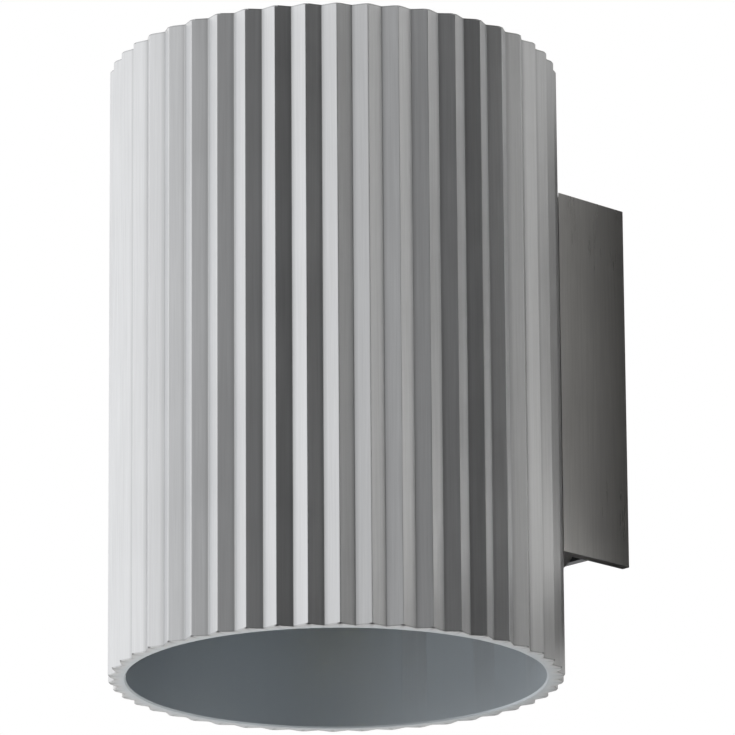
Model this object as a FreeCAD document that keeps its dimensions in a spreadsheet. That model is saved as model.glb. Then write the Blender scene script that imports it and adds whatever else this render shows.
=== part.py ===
import FreeCAD, Part
import os
import re

import Sketcher

# A tube wall light: a fluted aluminium tube, open at both ends, held off the wall by a small box.
# Two lampholders sit back to back on the tube's axis and light the wall up and down.
#
# Frame: millimetres, +Z up. The origin is the centre of the cable hole in the wall bracket's back
# face. The wall is the plane y = 0, the lamp stands out from it towards -Y.

SIZES = {
    # fluted tube
    "tube_length": 139.0,
    "ridge_radius": 50.0,
    "flute_depth": 1.7,
    "flute_count": 46,
    "tube_wall": 4.0,
    "bore_radius": "=ridge_radius - tube_wall",
    "end_chamfer": 0.35,
    # wall box, whose web follows the tube like a saddle
    "wire_room": 1.6,
    "wall_distance": "=ridge_radius + saddle_clearance + saddle_thickness + wire_room + plate_thickness",
    "box_width": 72.5,
    "box_height": 82.5,
    "box_wall": 2.4,
    "box_bevel": 0.4,
    "saddle_thickness": 2.0,
    "saddle_clearance": 0.1,
    "window_width": 22.0,
    "window_height": 72.0,
    "boss_length": 6.0,
    "boss_overlap": 0.6,
    # wall bracket
    "plate_thickness": 2.0,
    "plate_recess": 4.0,
    "plate_clearance": 0.4,
    "ear_width": 9.0,
    "ear_margin": 4.5,
    "ear_recess": 6.75,
    "ear_notch": 13.0,
    "ear_clearance": 0.5,
    "bend_radius": 1.0,
    "bend_relief": 1.0,
    "cable_hole_radius": 13.0,
    "wall_screw_spacing": 60.0,
    "wall_slot_length": 8.0,
    "wall_slot_radius": 2.25,
    # lamp bracket, folded from sheet
    "sheet_thickness": 1.5,
    "wing_width": 14.0,
    "wing_margin": 5.0,
    "wing_clearance": 0.05,
    "fold_land": 0.67,
    "pad_margin": 2.0,
    "pad_corner": 4.0,
    # screws that hold the lamp bracket, the tube and the wall box together
    "screw_ridge_count": 3,
    "nut_clearance": 0.46,
    "tube_screw_setback": 0.19,
    "box_screw_setback": 2.0,
    "coarse_radius": 2.0,
    "coarse_head_radius": 3.8,
    "coarse_head_height": 2.4,
    "coarse_nut_width": 7.0,
    "coarse_nut_height": 3.2,
    "washer_radius": 4.3,
    "washer_thickness": 0.8,
    "hole_clearance": 0.25,
    "head_clearance": 0.2,
    "thread_clearance": 0.04,
    # lampholders and the screws that clamp them
    "holder_side": 2.6,
    "holder_web": 0.5,
    "holder_rim": 1.0,
    "holder_height": 18.0,
    "holder_corner": 3.0,
    "seat_depth": 4.0,
    "fine_radius": 1.5,
    "fine_head_radius": 2.8,
    "fine_head_height": 2.2,
    "fine_nut_width": 5.5,
    "fine_nut_height": 2.4,
    "counterbore_radius": 3.4,
    "counterbore_depth": 2.8,
    "fine_screw_tail": 0.6,
    # contact springs
    "contact_strip": 0.4,
    "contact_width": 3.2,
    "contact_length": 8.0,
    "contact_gap": 0.1,
    "chamber_clearance": 0.2,
    "chamber_floor_gap": 1.4,
    # lamps
    "lamp_base_width": 14.0,
    "lamp_base_depth": 8.6,
    "lamp_base_height": 8.0,
    "lamp_base_corner": 1.5,
    "lamp_base_clearance": 0.4,
    "seat_gap": 0.2,
    "collar_height": 2.0,
    "neck_height": 2.0,
    "pin_spacing": 9.0,
    "pin_length": 8.0,
    "pin_wire_radius": 0.375,
    "pin_loop_width": 2.4,
    "envelope_radius": 7.5,
    "envelope_wall": 0.8,
    "envelope_length": 28.0,
    "glue_gap": 0.05,
    "column_radius": 4.0,
    "column_gap": 5.0,
    "chip_width": 2.2,
    "chip_height": 4.4,
    "chip_thickness": 0.6,
    "chip_pitch": 6.2,
    # terminal block
    "block_depth": 5.6,
    "block_length": 16.0,
    "block_height": 6.0,
    "block_clearance": 0.15,
    "pole_pitch": 4.6,
    "insert_radius": 1.8,
    "insert_bore_radius": 1.2,
    "insert_setback": 0.5,
    "clamp_screw_radius": 1.1,
    "clamp_screw_spacing": 7.6,
    "peg_radius": 1.4,
    "peg_spacing": 10.0,
    # grommets
    "grommet_drop": 12.2,
    "grommet_clearance": 0.8,
    "grommet_wall": 1.4,
    "grommet_flange": 2.0,
    "grommet_lip": 1.2,
    "shelf_grommet_inset": 9.0,
    # earth points
    "earth_stud_inset": 5.45,
    "earth_stud_tail": 1.4,
    "earth_screw_length": 6.0,
    "earth_screw_edge": 4.0,
    "earth_screw_inset": 5.5,
    "ring_radius": 3.6,
    "ring_neck": 1.2,
    "ring_thickness": 0.8,
    "barrel_radius": 1.5,
    "barrel_length": 4.0,
    "barrel_grip": 1.5,
    # wires
    "wire_radius": 1.0,
    "wire_spacing": 0.1,
    "wire_lift": 0.35,
    "wire_bend": 2.2,
    "wire_entry_rise": 2.4,
    "wire_clearance": 0.15,
}

doc = FreeCAD.newDocument("tube_wall_light")
sheet = doc.addObject("Spreadsheet::Sheet", "Sizes")
for row, (alias, size) in enumerate(SIZES.items(), start=1):
    sheet.set(f"A{row}", alias)
    sheet.set(f"B{row}", str(size))
    sheet.setAlias(f"B{row}", alias)
probe = doc.addObject("App::FeaturePython", "Probe")
doc.recompute()

X = FreeCAD.Vector(1, 0, 0)
Y = FreeCAD.Vector(0, 1, 0)
Z = FreeCAD.Vector(0, 0, 1)
ALONG_Y = FreeCAD.Rotation(Z, Y)
nodes = []

# ---------------------------------------------------------------- how sizes reach the shapes


def linked(expression):
    """The expression with the name of every size pointed at its cell."""
    def cell(word):
        return f"Sizes.{word[0]}" if word[0] in SIZES else word[0]
    return re.sub("[a-z_]+", cell, str(expression))


def number(expression):
    """What an expression comes to."""
    return float(probe.evalExpression(linked(expression)))


def bind(item, sizes):
    for name, expression in sizes.items():
        item.setExpression(name, linked(expression))


def place(item, base, turn=None):
    """Puts an item at a base point of three expressions, turned about it."""
    item.Placement = FreeCAD.Placement(FreeCAD.Vector(), turn or FreeCAD.Rotation())
    bind(item, {f"Placement.Base.{axis}": part for axis, part in zip("xyz", base)})
    return item


def node(item, label):
    """Names a finished sub-part."""
    item.Label = label
    nodes.append(item)
    return item


# ---------------------------------------------------------------- primitives and booleans


def block(low, size):
    """A box from its low corner."""
    item = doc.addObject("Part::Box", "block")
    bind(item, dict(zip(("Length", "Width", "Height"), size)))
    return place(item, low)


def rod(radius, length, base, turn=None):
    item = doc.addObject("Part::Cylinder", "rod")
    bind(item, {"Radius": radius, "Height": length})
    return place(item, base, turn)


def ball(radius, centre):
    item = doc.addObject("Part::Sphere", "ball")
    bind(item, {"Radius": radius})
    return place(item, centre)


def prism(sides, circumradius, height, base, turn=None):
    item = doc.addObject("Part::Prism", "prism")
    item.Polygon = sides
    bind(item, {"Circumradius": circumradius, "Height": height})
    return place(item, base, turn)


def joined(*pieces):
    item = doc.addObject("Part::MultiFuse", "joined")
    item.Shapes = pieces
    item.Refine = True
    return item


def cut(base, *tools):
    item = doc.addObject("Part::Cut", "cut")
    item.Base = base
    item.Tool = tools[0] if len(tools) == 1 else joined(*tools)
    item.Refine = True
    return item


def shared(*pieces):
    item = doc.addObject("Part::MultiCommon", "shared")
    item.Shapes = pieces
    return item


def strip(side, near, width):
    """Where a strip of a width starts that lies beyond near, on one side of the middle."""
    return f"{side} * (({near}) + ({width}) / 2) - ({width}) / 2"


def rounded(item, radius, chosen):
    """The item with a fillet on each edge whose middle point is chosen."""
    doc.recompute()
    size = number(radius)
    edges = []
    for index, edge in enumerate(item.Shape.Edges, start=1):
        if chosen(edge):
            edges.append((index, size, size))
    fillet = doc.addObject("Part::Fillet", "rounded")
    fillet.Base = item
    fillet.Edges = edges
    return fillet


def upright(edge):
    """Whether an edge is a straight line along Z."""
    tangent = edge.tangentAt(edge.FirstParameter)
    return abs(abs(tangent.z) - 1) < 1e-6 and edge.Curve.TypeId == "Part::GeomLine"


def rounded_block(low, size, corner):
    """A box with its four upright edges rounded."""
    return rounded(block(low, size), corner, upright)


def slot(width, length, depth, centre, turn=None):
    """A bar with round ends, its length along Z, its depth along Y from the centre."""
    half = f"(({length}) - ({width})) / 2"
    low = (f"{centre[0]} - ({width}) / 2", centre[1], f"{centre[2]} - {half}")
    bar = block(low, (width, depth, f"2 * {half}"))
    ends = []
    for side in ("+", "-"):
        base = (centre[0], centre[1], f"{centre[2]} {side} {half}")
        ends.append(rod(f"({width}) / 2", depth, base, ALONG_Y))
    return joined(bar, *ends)


def mirrored(item):
    """The same piece below the shelf."""
    copy = doc.addObject("Part::Mirroring", "mirrored")
    copy.Source = item
    copy.Normal = Z
    return copy


def copies(pattern, places):
    """A group of separate solids, one at each placement."""
    doc.recompute()
    group = doc.addObject("Part::Feature", "copies")
    solids = []
    for where in places:
        solid = pattern.Shape.copy()
        solid.Placement = where.multiply(solid.Placement)
        solids.append(solid)
    group.Shape = Part.makeCompound(solids)
    return group


# ---------------------------------------------------------------- sketches


def sketch_on(body, role, name, height="0"):
    """A sketch on one of the body's own origin planes, or at a height above it."""
    sketch = body.newObject("Sketcher::SketchObject", name)
    plane = next(item for item in body.Origin.OriginFeatures if item.Role == role)
    sketch.AttachmentSupport = (plane, [""])
    sketch.MapMode = "FlatFace"
    bind(sketch, {"AttachmentOffset.Base.z": height})
    return sketch


def hold(sketch, kind, where, expression):
    """A dimension of the sketch, driven by an expression."""
    index = sketch.addConstraint(Sketcher.Constraint(kind, *where, number(expression)))
    sketch.setExpression(f"Constraints[{index}]", linked(expression))


def outline(sketch, points):
    """A closed outline of straight lines through points, each point a pair of expressions."""
    corners = [FreeCAD.Vector(number(x), number(y), 0) for x, y in points]
    count = len(corners)
    first = sketch.GeometryCount
    for index in range(count):
        line = Part.LineSegment(corners[index], corners[(index + 1) % count])
        sketch.addGeometry(line, False)
    for index in range(count):
        following = first + (index + 1) % count
        sketch.addConstraint(Sketcher.Constraint("Coincident", first + index, 2, following, 1))
    for index, (x, y) in enumerate(points):
        hold(sketch, "DistanceX", (-1, 1, first + index, 1), x)
        hold(sketch, "DistanceY", (-1, 1, first + index, 1), y)


def circle(sketch, radius):
    """A circle about the sketch's origin."""
    index = sketch.addGeometry(Part.Circle(FreeCAD.Vector(), Z, number(radius)), False)
    sketch.addConstraint(Sketcher.Constraint("Coincident", index, 3, -1, 1))
    hold(sketch, "Radius", (index,), radius)


def pad(body, sketch, length):
    item = body.newObject("PartDesign::Pad", "pad")
    item.Profile = sketch
    bind(item, {"Length": length})
    return item


def polar(radius, angle):
    """A point about the tube's axis, its angle measured from the wall side (+Y) towards +X."""
    return f"({radius}) * sin({angle})", f"({radius}) * cos({angle})"


def about_tube(radius, angle, height):
    """The same point in the part's frame."""
    x, y = polar(radius, angle)
    return x, f"{y} - wall_distance", height


def outwards(angle):
    """The turn that takes +Z to the direction away from the tube's axis."""
    return FreeCAD.Rotation(Z, FreeCAD.Rotation(Z, -number(angle)).multVec(Y))


# the screws sit on the line of a ridge, just inside the bosses that the bracket's ears hold
INSIDE = "(box_width / 2 - box_wall)"
EAR_OUTSIDE = "(box_height / 2 - ear_recess)"
EAR_INSIDE = f"({EAR_OUTSIDE} - plate_thickness)"
SCREW_HEIGHT = f"({EAR_INSIDE} - boss_length - coarse_nut_width / sqrt(3) - nut_clearance)"
WING_HEIGHT = f"(2 * {SCREW_HEIGHT} + 2 * wing_margin)"
RIDGE_ANGLE = "360 * screw_ridge_count / flute_count"
SCREW_SPOTS = []
for side in ("", "-"):
    for level in ("", "-"):
        SCREW_SPOTS.append((f"{side}({RIDGE_ANGLE})", f"{level}{SCREW_HEIGHT}"))

# where the lamp bracket's wings touch the bore, and the outside of the saddle
WING = "sqrt((bore_radius - wing_clearance) ^ 2 - (wing_width / 2) ^ 2)"
SADDLE = "(ridge_radius + saddle_clearance + saddle_thickness)"


def screw_hole(angle, level, radius="coarse_radius + hole_clearance"):
    """A radial hole through tube, saddle and lamp bracket."""
    return rod(radius, "wall_distance * 1.1", about_tube("0", angle, level), outwards(angle))


# ---------------------------------------------------------------- fluted tube
# Extruded with sharp V flutes outside, sawn to length, both ends turned to a small chamfer.

tube = doc.addObject("PartDesign::Body", "FlutedTube")
place(tube, ("0", "-wall_distance", "-tube_length / 2"))
ring = sketch_on(tube, "XY_Plane", "tube_ring")
circle(ring, "ridge_radius + flute_depth / 4")
circle(ring, "bore_radius")
pad(tube, ring, "tube_length")

notch = sketch_on(tube, "XY_Plane", "flute_notch")
valley = polar("ridge_radius - flute_depth", "180 / flute_count")
notch_points = [valley]
for turn in ("0", "360 / flute_count"):
    ridge = polar("ridge_radius", turn)
    notch_points.append(tuple(f"2 * {r} - {v}" for r, v in zip(ridge, valley)))
outline(notch, notch_points)
flute = tube.newObject("PartDesign::Pocket", "flute")
flute.Profile = notch
flute.Type = "ThroughAll"
flute.Reversed = True
flutes = tube.newObject("PartDesign::PolarPattern", "flutes")
flutes.Originals = [flute]
flutes.Axis = (notch, ["N_Axis"])
flutes.Angle = 360
bind(flutes, {"Occurrences": "flute_count"})
tube.Tip = flutes

turned = sketch_on(tube, "XZ_Plane", "turned_ends")
for edge, out in (("ridge_radius", "+"), ("bore_radius", "-")):
    back = "-" if out == "+" else "+"
    for end, up in (("0", "+"), ("tube_length", "-")):
        down = "-" if up == "+" else "+"
        outline(turned, [
            (f"{edge} {back} end_chamfer {back} 1", f"{end} {down} 1"),
            (f"{edge} {out} 1", f"{end} {down} 1"),
            (f"{edge} {out} 1", f"{end} {up} end_chamfer {up} 1"),
        ])
ends = tube.newObject("PartDesign::Groove", "ends")
ends.Profile = turned
ends.ReferenceAxis = (turned, ["V_Axis"])
ends.Angle = 360

WIRE_COUNT = 5
WIRE_PITCH = "(2 * wire_radius + wire_spacing)"
SLOT_WIDTH = "(2 * wire_radius + 2 * grommet_clearance)"
SLOT_LENGTH = f"({SLOT_WIDTH} + {WIRE_COUNT - 1} * {WIRE_PITCH})"
GROMMET_WIDTH = f"({SLOT_WIDTH} + 2 * grommet_wall)"
GROMMET_LENGTH = f"({SLOT_LENGTH} + 2 * grommet_wall)"


def wire_slot(width, length, start, end):
    """A bar along Y through the tube's back, between two distances from its axis."""
    centre = ("0", f"{start} - wall_distance", "-grommet_drop")
    return slot(width, length, f"({end}) - ({start})", centre)


tube_holes = [screw_hole(angle, level) for angle, level in SCREW_SPOTS]
tube_holes.append(wire_slot(GROMMET_WIDTH, GROMMET_LENGTH, "bore_radius - 5", "ridge_radius + 2"))
node(cut(tube, *tube_holes), "fluted_tube")

# ---------------------------------------------------------------- wall box
# Open at its top and bottom, cast with a curved web that follows the tube, and four bosses.

FLANK = "(wall_distance - sqrt((ridge_radius + saddle_clearance) ^ 2 - (box_width / 2) ^ 2) + 1)"
HEAD_ROOM = "(fine_head_radius + head_clearance)"
BOSS_X = f"({INSIDE} - {HEAD_ROOM})"
BOSS_Y = f"(sqrt(({SADDLE} + {HEAD_ROOM}) ^ 2 - {BOSS_X} ^ 2) - wall_distance)"
CORNERS = [(side, level) for side in (1, -1) for level in (1, -1)]

blank = doc.addObject("PartDesign::Body", "BoxBlank")
blank_outline = sketch_on(blank, "XY_Plane", "blank_outline", "-box_height / 2")
outline(blank_outline, [
    ("-box_width / 2 + box_bevel", "0"),
    ("-box_width / 2", "-box_bevel"),
    ("-box_width / 2", f"-{FLANK}"),
    ("box_width / 2", f"-{FLANK}"),
    ("box_width / 2", "-box_bevel"),
    ("box_width / 2 - box_bevel", "0"),
])
pad(blank, blank_outline, "box_height")


def tube_space(radius):
    """A cylinder about the tube's axis that runs past the box's ends."""
    return rod(radius, "2 * box_height", ("0", "-wall_distance", "-box_height"))


hollow = cut(
    block((f"-{INSIDE}", f"-{FLANK}", "-box_height"), (f"2 * {INSIDE}", f"{FLANK} + 1", "2 * box_height")),
    tube_space(SADDLE),
)
shell = cut(blank, hollow, tube_space("ridge_radius + saddle_clearance"))
bosses = []
boss_holes = []
for side, level in CORNERS:
    base = (f"{side} * {BOSS_X}", BOSS_Y, strip(level, f"{EAR_INSIDE} - boss_length", "boss_length"))
    bosses.append(rod(f"{HEAD_ROOM} + boss_overlap", "boss_length", base))
    boss_holes.append(rod("fine_radius", "boss_length", base))
web_window = block(
    ("-window_width / 2", f"-{FLANK}", "-window_height / 2"),
    ("window_width", f"{FLANK} + 1", "window_height"),
)
web_holes = [screw_hole(angle, level) for angle, level in SCREW_SPOTS]
node(cut(joined(shell, *bosses), web_window, *boss_holes, *web_holes), "wall_box")

# ---------------------------------------------------------------- wall bracket
# A steel plate on the wall with four ears bent forward, which the wall box is screwed to.

PLATE_X = f"({INSIDE} - plate_clearance)"
PLATE_Z = "(box_height / 2 - plate_recess)"
BLOCK_X = f"-({PLATE_X} - block_clearance - pole_pitch)"
STUD_X = f"({PLATE_X} - earth_stud_inset)"
THROUGH = ("-plate_thickness - 1", "plate_thickness + 2")


def through_plate(radius, x, z):
    return rod(radius, THROUGH[1], (x, THROUGH[0], z), ALONG_Y)


plate = block(
    (f"-{PLATE_X}", "-plate_thickness", f"-{PLATE_Z}"),
    (f"2 * {PLATE_X}", "plate_thickness", f"2 * {PLATE_Z}"),
)
ears = []
plate_cuts = [tube_space(f"{SADDLE} + ear_clearance")]
for side, level in CORNERS:
    ear_low = (
        strip(side, f"{PLATE_X} - ear_width", "ear_width"),
        f"{BOSS_Y} - ear_margin",
        strip(level, EAR_INSIDE, "plate_thickness"),
    )
    ears.append(block(ear_low, ("ear_width", f"ear_margin - {BOSS_Y}", "plate_thickness")))
    for width, low, height in (
        ("2 * ear_width", f"{EAR_INSIDE} - ear_notch", "ear_notch"),
        ("bend_relief", f"{EAR_INSIDE} - 1", "plate_thickness + bend_radius + 1.5"),
    ):
        opening = (
            strip(side, f"{PLATE_X} - ear_width - bend_relief", width),
            THROUGH[0],
            strip(level, low, height),
        )
        plate_cuts.append(block(opening, (width, THROUGH[1], height)))
    ear_hole = (f"{side} * {BOSS_X}", BOSS_Y, f"{ear_low[2]} - 1")
    plate_cuts.append(rod("fine_radius + hole_clearance", "plate_thickness + 2", ear_hole))
for level in (1, -1):
    slot_centre = ("0", THROUGH[0], f"{level} * wall_screw_spacing / 2")
    plate_cuts.append(slot("2 * wall_slot_radius", "wall_slot_length", THROUGH[1], slot_centre))
    peg_level = f"block_height + {level} * peg_spacing / 2"
    plate_cuts.append(through_plate("peg_radius + glue_gap", BLOCK_X, peg_level))
plate_cuts.append(through_plate("cable_hole_radius", "0", "0"))
plate_cuts.append(through_plate("coarse_radius", STUD_X, "0"))
sharp_bracket = cut(joined(plate, *ears), *plate_cuts)


def bend_line(y, z):
    """Picks the edges along X at a depth and at a height above or below the middle."""
    def chosen(edge):
        middle = edge.CenterOfMass
        flat = abs(edge.tangentAt(edge.FirstParameter).x) > 1 - 1e-6
        near = abs(middle.y - number(y)) < 1e-3 and abs(abs(middle.z) - number(z)) < 1e-3
        return flat and near and abs(middle.x) > number(f"{PLATE_X} - ear_width")
    return chosen


inner_bends = rounded(sharp_bracket, "bend_radius", bend_line("-plate_thickness", EAR_OUTSIDE))
node(rounded(inner_bends, "bend_radius + plate_thickness", bend_line("0", EAR_INSIDE)), "wall_bracket")

# ---------------------------------------------------------------- lamp bracket
# Two wings against the bore, folded to a middle facet, and a shelf lanced out below it.

FACET = f"({WING} * cos({RIDGE_ANGLE}) + wing_width / 2 * sin({RIDGE_ANGLE}))"
FACET_INSIDE = f"({FACET} - sheet_thickness)"
FOLD = f"({WING} * sin({RIDGE_ANGLE}) - wing_width / 2 * cos({RIDGE_ANGLE}))"
SHELF_HALF = f"({FOLD} - bend_relief - fold_land)"
WING_INSIDE = f"({WING} - sheet_thickness)"


def wing_point(distance, along, side):
    """A point on a wing: its distance from the axis, and how far from the screws' line."""
    x = f"{side} * (({distance}) * sin({RIDGE_ANGLE}) + ({along}) * cos({RIDGE_ANGLE}))"
    y = f"({distance}) * cos({RIDGE_ANGLE}) - ({along}) * sin({RIDGE_ANGLE})"
    return x, y


HOLDER_WIDTH = "(lamp_base_width + 2 * lamp_base_clearance + 2 * holder_side)"
CLAMP_OFFSET = "(lamp_base_depth / 2 + lamp_base_clearance + holder_web + counterbore_radius)"
HOLDER_DEPTH = f"(2 * ({CLAMP_OFFSET} + counterbore_radius + holder_rim))"
FOLD_INSIDE = f"(({WING_INSIDE} - {FACET_INSIDE} * cos({RIDGE_ANGLE})) / sin({RIDGE_ANGLE}))"
folded = doc.addObject("PartDesign::Body", "FoldedStrip")
place(folded, ("0", "-wall_distance", "0"))
fold_outline = sketch_on(folded, "XY_Plane", "fold_outline", f"-{WING_HEIGHT} / 2")
outline(fold_outline, [
    wing_point(WING, "wing_width / 2", -1),
    wing_point(WING, "-wing_width / 2", -1),
    wing_point(WING, "-wing_width / 2", 1),
    wing_point(WING, "wing_width / 2", 1),
    wing_point(WING_INSIDE, "wing_width / 2", 1),
    (FOLD_INSIDE, FACET_INSIDE),
    (f"-{FOLD_INSIDE}", FACET_INSIDE),
    wing_point(WING_INSIDE, "wing_width / 2", -1),
])
pad(folded, fold_outline, WING_HEIGHT)

SHELF_TOP = "sheet_thickness / 2"
lance_y = f"{FACET} - 8 - wall_distance"
lance = [block(
    (f"-{SHELF_HALF} - bend_relief", lance_y, f"-{WING_HEIGHT}"),
    (f"2 * {SHELF_HALF} + 2 * bend_relief", "16", f"{WING_HEIGHT} - {SHELF_TOP}"),
)]
for side in (1, -1):
    relief_low = (strip(side, SHELF_HALF, "bend_relief"), lance_y, f"-{SHELF_TOP} - 1")
    lance.append(block(relief_low, ("bend_relief", "16", "sheet_thickness + bend_radius + 1.5")))
shelf = block(
    (f"-{SHELF_HALF}", "-wall_distance", f"-{SHELF_TOP}"),
    (f"2 * {SHELF_HALF}", FACET, "sheet_thickness"),
)
PAD_X = f"({HOLDER_WIDTH} / 2 + pad_margin)"
PAD_Y = f"({HOLDER_DEPTH} / 2 + pad_margin)"
lamp_pad = rounded_block(
    (f"-{PAD_X}", f"-{PAD_Y} - wall_distance", f"-{SHELF_TOP}"),
    (f"2 * {PAD_X}", f"2 * {PAD_Y}", "sheet_thickness"),
    "pad_corner",
)
shelf_holes = [screw_hole(angle, level) for angle, level in SCREW_SPOTS]
SHELF_GROMMET = f"({FACET_INSIDE} - shelf_grommet_inset)"
SHELF_BORE = f"({WIRE_PITCH} / 2 + wire_radius + grommet_clearance)"
SHELF_SLEEVE = f"({SHELF_BORE} + grommet_wall)"
EARTH_SCREW_X = f"({SHELF_HALF} - earth_screw_edge)"
EARTH_SCREW = f"({HOLDER_DEPTH} / 2 + earth_screw_inset)"
SHELF_BELOW = f"-{SHELF_TOP} - 1"
SHELF_DEPTH = "sheet_thickness + 2"


def through_shelf(radius, x, reach):
    """A hole through the shelf, at a reach from the tube's axis towards the wall."""
    return rod(radius, SHELF_DEPTH, (x, f"({reach}) - wall_distance", SHELF_BELOW))


for side in ("", "-"):
    shelf_holes.append(through_shelf("fine_radius + hole_clearance", "0", f"{side}{CLAMP_OFFSET}"))
shelf_holes.append(through_shelf(SHELF_SLEEVE, "0", SHELF_GROMMET))
shelf_holes.append(through_shelf("coarse_radius", EARTH_SCREW_X, EARTH_SCREW))
sharp_lamp_bracket = cut(joined(cut(folded, *lance), shelf, lamp_pad), *shelf_holes)


def shelf_bend(reach, z):
    """Picks the shelf's edges along X at a reach from the axis and a height."""
    def chosen(edge):
        middle = edge.CenterOfMass
        flat = abs(edge.tangentAt(edge.FirstParameter).x) > 1 - 1e-6
        near_y = abs(middle.y - number(f"{reach} - wall_distance")) < 1e-3
        return flat and near_y and abs(middle.z - number(z)) < 1e-3 and abs(middle.x) < 1e-3
    return chosen


inner_fold = rounded(sharp_lamp_bracket, "bend_radius", shelf_bend(FACET_INSIDE, SHELF_TOP))
node(rounded(inner_fold, "bend_radius + sheet_thickness", shelf_bend(FACET, f"-{SHELF_TOP}")), "lamp_bracket")

# ---------------------------------------------------------------- screws, nuts and washers


def screw(radius, length, head_radius, head_height):
    """A button-head screw with a hexagon socket, its head's underside at the origin, pointing down."""
    shank = rod(f"{radius} - thread_clearance", length, ("0", "0", f"-({length})"))
    dome_radius = f"({head_radius} * 1.4)"
    dome = ball(dome_radius, ("0", "0", f"{head_height} - {dome_radius}"))
    head = shared(rod(head_radius, head_height, ("0", "0", "0")), dome)
    socket = prism(6, f"{radius} * 0.7", head_height, ("0", "0", f"{head_height} * 0.4"))
    return cut(joined(shank, head), socket)


def nut(radius, width, height):
    """A hexagon nut on the origin, with its corners along Y, and its edges chamfered by a ball."""
    blank_nut = prism(6, f"{width} / sqrt(3)", height, ("0", "0", "0"), FreeCAD.Rotation(Z, 90))
    chamfer = ball(f"{width} * 0.72", ("0", "0", f"{height} / 2"))
    return cut(shared(blank_nut, chamfer), rod(radius, height, ("0", "0", "0")))


def washer(radius, hole, thickness):
    return cut(rod(radius, thickness, ("0", "0", "0")), rod(hole, thickness, ("0", "0", "0")))


def at(point, turn):
    return FreeCAD.Placement(FreeCAD.Vector(*[number(part) for part in point]), turn)


DOWN = FreeCAD.Rotation(X, 180)
TO_ROOM = FreeCAD.Rotation(X, 90)


def around_tube(distance, inwards):
    """The four places of a fastener at a distance from the tube's axis."""
    places = []
    for angle, level in SCREW_SPOTS:
        turn = outwards(angle)
        if inwards:
            turn = turn.multiply(DOWN)
        places.append(at(about_tube(distance, angle, level), turn))
    return places


NUT_FACE = f"({SADDLE} + washer_thickness + coarse_nut_height)"
tube_screw_length = f"{NUT_FACE} - tube_screw_setback - {WING_INSIDE}"
tube_screw = screw("coarse_radius", tube_screw_length, "coarse_head_radius", "coarse_head_height")
node(copies(tube_screw, around_tube(WING_INSIDE, True)), "tube_screws")
tube_washer = washer("washer_radius", "coarse_radius + hole_clearance", "washer_thickness")
node(copies(tube_washer, around_tube(SADDLE, False)), "tube_washers")
tube_nut = nut("coarse_radius", "coarse_nut_width", "coarse_nut_height")
node(copies(tube_nut, around_tube(f"{SADDLE} + washer_thickness", False)), "tube_nuts")

box_screw_length = "plate_thickness + boss_length - box_screw_setback"
box_screw = screw("fine_radius", box_screw_length, "fine_head_radius", "fine_head_height")
box_screw_places = []
for side, level in CORNERS:
    turn = FreeCAD.Rotation() if level > 0 else DOWN
    box_screw_places.append(at((f"{side} * {BOSS_X}", BOSS_Y, f"{level} * {EAR_OUTSIDE}"), turn))
node(copies(box_screw, box_screw_places), "box_screws")

# ---------------------------------------------------------------- lampholders
# Glazed ceramic blocks, back to back on the shelf, clamped by two long screws.

BASE = SHELF_TOP
MOUTH = f"({BASE} + holder_height)"
SEAT = f"({MOUTH} - seat_depth)"
CHAMBER_FLOOR = f"({SEAT} - pin_length - chamber_floor_gap)"
ENTRY = f"({CHAMBER_FLOOR} + wire_entry_rise)"
CONTACT_DEPTH = "2 * (pin_wire_radius + contact_gap + contact_strip)"


def centred(width, depth, low, high, x="0"):
    """The low corner and the size of a box centred on the lamp axis."""
    corner = (f"{x} - ({width}) / 2", f"-wall_distance - ({depth}) / 2", low)
    return corner, (width, depth, f"({high}) - ({low})")


PAIR_X = ("pin_spacing / 2", "-pin_spacing / 2")
holder_cuts = [rounded_block(
    *centred(
        "lamp_base_width + 2 * lamp_base_clearance",
        "lamp_base_depth + 2 * lamp_base_clearance",
        SEAT,
        f"{MOUTH} + 1",
    ),
    "lamp_base_corner + lamp_base_clearance",
)]
for x in PAIR_X:
    holder_cuts.append(block(*centred(
        "contact_width + 2 * chamber_clearance",
        f"{CONTACT_DEPTH} + 2 * chamber_clearance",
        CHAMBER_FLOOR,
        f"{SEAT} + 1",
        x,
    )))
    wire_hole = (x, "-wall_distance", ENTRY)
    holder_cuts.append(rod("wire_radius + wire_clearance", HOLDER_DEPTH, wire_hole, ALONG_Y))
for side in ("", "-"):
    centre_y = f"{side}{CLAMP_OFFSET} - wall_distance"
    holder_cuts.append(rod("fine_radius + hole_clearance", "2 * holder_height", ("0", centre_y, "0")))
    bore_base = ("0", centre_y, f"{MOUTH} - counterbore_depth")
    holder_cuts.append(rod("counterbore_radius", "holder_height", bore_base))
holder_blank = rounded_block(*centred(HOLDER_WIDTH, HOLDER_DEPTH, BASE, MOUTH), "holder_corner")
upper_holder = node(cut(holder_blank, *holder_cuts), "upper_holder")
node(mirrored(upper_holder), "lower_holder")

contact_solids = []
CONTACT_TOP = f"({CHAMBER_FLOOR} + contact_length)"
for x in PAIR_X:
    folded_strip = block(*centred("contact_width", CONTACT_DEPTH, CHAMBER_FLOOR, CONTACT_TOP, x))
    between = block(*centred(
        "contact_width + 2",
        f"{CONTACT_DEPTH} - 2 * contact_strip",
        f"{CHAMBER_FLOOR} + contact_strip",
        f"{CONTACT_TOP} + 1",
        x,
    ))
    contact_solids.append(cut(folded_strip, between))
upper_contacts = doc.addObject("Part::Compound", "contacts")
upper_contacts.Links = contact_solids
node(upper_contacts, "upper_contacts")
node(mirrored(upper_contacts), "lower_contacts")

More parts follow.
